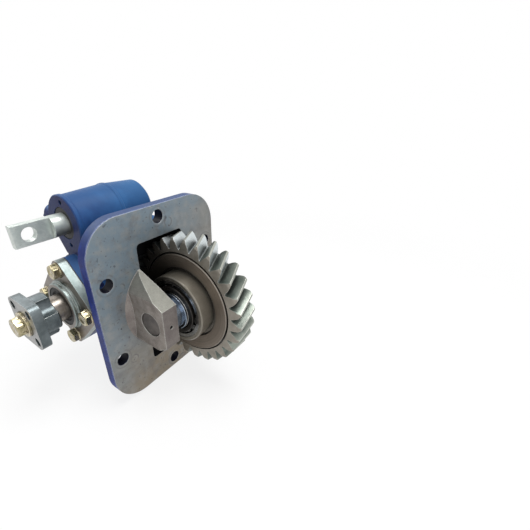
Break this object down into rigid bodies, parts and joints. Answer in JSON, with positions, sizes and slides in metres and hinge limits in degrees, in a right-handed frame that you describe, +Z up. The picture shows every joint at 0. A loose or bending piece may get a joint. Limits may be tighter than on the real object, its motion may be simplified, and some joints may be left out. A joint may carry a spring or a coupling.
{
  "type": "power take off unit",
  "caption": "Bolt-on power take off with a helical input gear between two ears, sliding dog clutch, shift rod and square coupling flange.",
  "frame": {"origin": "centre of the six-hole pattern on the machined mounting face", "axes": "+X along the shafts away from the output flange, +Y from the mounting face into the housing, +Z up"},
  "size_m": [0.193, 0.2004, 0.1986],
  "materials": {
    "housing_paint": "satin",
    "ground_steel": "satin",
    "spring_steel": "satin",
    "gear_steel": "satin",
    "bearing_steel": "polished",
    "cage_steel": "satin",
    "thrust_bronze": "satin",
    "cover_metal": "satin",
    "gasket_sheet": "matte",
    "yellow_zinc": "satin",
    "seal_rubber": "matte",
    "forged_steel": "satin",
    "fork_iron": "matte"
  },
  "bodies": {
    "housing_body": {"housing": "housing_paint", "idler_shaft": "ground_steel", "lock_pin": "spring_steel", "idler_spacer": "ground_steel", "thrust_washer": "thrust_bronze", "bearing_cones": "bearing_steel", "cone_spacer": "ground_steel", "output_cover": "cover_metal", "cover_gasket": "gasket_sheet", "cover_bolts": "yellow_zinc", "oil_seal": "seal_rubber", "bearing_outer_rings": "bearing_steel", "bearing_balls": "bearing_steel", "rod_seal": "seal_rubber", "shift_end_cap": "housing_paint", "detent_ball": "bearing_steel", "detent_spring": "spring_steel", "detent_plug": "housing_paint", "core_plug": "housing_paint"},
    "input_body": {"input_gear": "gear_steel", "bearing_cups": "bearing_steel", "roller_cages": "cage_steel", "bearing_rollers": "bearing_steel"},
    "pinion_body": {"driven_gear": "gear_steel", "gear_bush": "thrust_bronze"},
    "output_body": {"output_shaft": "ground_steel", "coupling_flange": "forged_steel", "end_washer": "yellow_zinc", "end_bolt": "yellow_zinc", "bearing_inner_rings": "bearing_steel", "side_washer": "ground_steel"},
    "sleeve_body": {"clutch_sleeve": "gear_steel"},
    "shift_body": {"shift_rod": "ground_steel", "shift_fork": "fork_iron", "fork_pin": "spring_steel"}
  },
  "joints": [
    {"name": "input_spin", "type": "hinge", "parent": "housing_body", "child": "input_body", "pos_m": [0, -0.025, 0], "axis": [1, 0, 0], "continuous": true},
    {"name": "pinion_spin", "type": "hinge", "parent": "housing_body", "child": "pinion_body", "pos_m": [0, 0.06322, 0.003], "axis": [1, 0, 0], "continuous": true},
    {"name": "output_spin", "type": "hinge", "parent": "housing_body", "child": "output_body", "pos_m": [0, 0.06322, 0.003], "axis": [1, 0, 0], "continuous": true},
    {"name": "shift_slide", "type": "slide", "parent": "housing_body", "child": "shift_body", "axis": [-1, 0, 0], "range_m": [0, 0.011]},
    {"name": "sleeve_slide", "type": "slide", "parent": "output_body", "child": "sleeve_body", "axis": [-1, 0, 0], "range_m": [0, 0.011]}
  ],
  "couplings": [
    {"joint": "pinion_spin", "follows": "input_spin", "ratio": -2.3333},
    {"joint": "output_spin", "follows": "input_spin", "ratio": -2.3333},
    {"joint": "sleeve_slide", "follows": "shift_slide", "ratio": 1}
  ]
}
